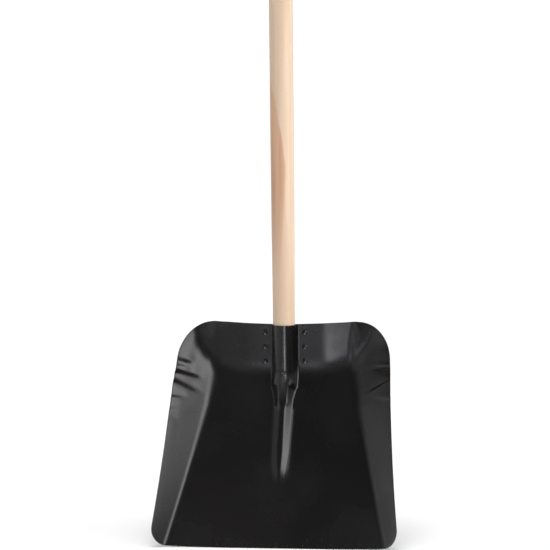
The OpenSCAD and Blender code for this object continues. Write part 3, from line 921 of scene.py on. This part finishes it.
def aim_light(name, data, place, target):
    light = bpy.data.objects.new(name, data)
    light.location = place
    light.rotation_mode = "QUATERNION"
    light.rotation_quaternion = (Vector(target) - Vector(place)).to_track_quat("-Z", "Y")
    light.visible_camera = False
    bpy.context.scene.collection.objects.link(light)
    return light


def gleam_card(name, azimuth, elevation, distance, size, radiance, colour=(1, 1, 1), target=SUBJECT):
    """A soft box seen only in glossy reflections."""
    data = bpy.data.lights.new(name, "AREA")
    data.shape = "RECTANGLE"
    data.size, data.size_y = size
    data.energy = radiance * math.pi * size[0] * size[1]
    data.color = colour
    light = aim_light(name, data, Vector(target) + direction(azimuth, elevation) * distance, target)
    light.visible_diffuse = False
    return data


def narrow_beam(data, spread):
    """A grid on a soft box: only what lies near its axis sees it, as bright as before."""
    half = math.radians(spread) / 2
    data.spread = 2 * half
    data.energy *= (math.tan(half) - half) / math.tan(half)


def wash(name, azimuth, elevation, strength, angle, shadow=True):
    """Broad light for the wood and the floor, unseen in reflections."""
    data = bpy.data.lights.new(name, "SUN")
    data.energy = strength
    data.angle = math.radians(angle)
    data.use_shadow = shadow
    light = aim_light(name, data, SUBJECT + direction(azimuth, elevation) * 5, SUBJECT)
    light.visible_glossy = False


def build_world():
    """A white backdrop, plain light for the floor and the wood, a dim studio in reflections."""
    world = bpy.data.worlds.new("studio")
    tree = Tree(world)
    back = tree.nodes["Background"]
    place = tree.nodes.new("ShaderNodeTexCoord").outputs["Generated"]
    height = tree.split(place)[2]
    studio = tree.spread(height, STUDIO_FROM, STUDIO_TO, STUDIO_LOW, STUDIO_HIGH)
    studio = tree.math("MULTIPLY", studio, dark_side(tree, place))
    room = tree.between(tree.ray("Is Glossy Ray"), ROOM_LIGHT, studio)
    tree.put((1, 1, 1, 1), back.inputs["Color"])
    tree.put(tree.between(tree.ray("Is Camera Ray"), room, BACKDROP), back.inputs["Strength"])
    bpy.context.scene.world = world


def build_boxes():
    """Gleams on the paint: two boxes right, two left, and narrow ones for socket and back wall."""
    tube = (0.015, CREST_Y, RIM_Z - 0.05)
    wall_right = (0.05, WALL_Y, RIM_Z - 0.04)
    gleam_card("side_box", 62, 31, 1.6, (1.45, 1.15), 1.9)
    gleam_card("side_box_core", 47, 33, 1.58, (0.58, 0.95), 3.2)
    gleam_card("left_card", -64, 15, 1.6, (2.3, 1.3), 0.43)
    gleam_card("left_low_card", -91, 3, 1.5, (1.2, 0.3), 0.8)
    tube_strip = gleam_card("tube_strip", 11, -6, 0.7, (0.13, 0.2), 24, (0.93, 0.93, 1), tube)
    narrow_beam(tube_strip, 15)
    wall_card = gleam_card("back_wall_card", -12, 3, 0.8, (0.17, 0.42), 4.5, (0.9, 0.84, 1), wall_right)
    narrow_beam(wall_card, 17)


def build_lights():
    build_boxes()
    wash("top_wash", 0, 80, 2.0, 50)
    wash("key_wash", 70, 25, 2.0, 40, shadow=False)
    build_world()
    bpy.context.scene.view_settings.view_transform = "Standard"


def build_camera():
    """A long lens from the right and a little above, aimed at the shaft and slightly tilted."""
    distance, roll = 4.4114, math.radians(-0.588)
    place = Vector((0, 0.0998, 0.1733)) + direction(7.79, 8.3) * distance
    aim = Vector((-0.01356, AXIS_Y, 0.41055))
    data = bpy.data.cameras.new("camera")
    data.sensor_width = 36
    data.lens = 183.482
    data.clip_end = 100
    camera = bpy.data.objects.new("camera", data)
    forward = (aim - place).normalized()
    right = forward.cross(Vector((0, 0, 1))).normalized()
    up = right.cross(forward)
    right, up = (right * math.cos(roll) + up * math.sin(roll),
                 up * math.cos(roll) - right * math.sin(roll))
    camera.matrix_world = Matrix((
        (right.x, up.x, -forward.x, place.x),
        (right.y, up.y, -forward.y, place.y),
        (right.z, up.z, -forward.z, place.z),
        (0, 0, 0, 1)))
    bpy.context.scene.collection.objects.link(camera)
    bpy.context.scene.camera = camera


build_floor()
build_lights()
build_camera()
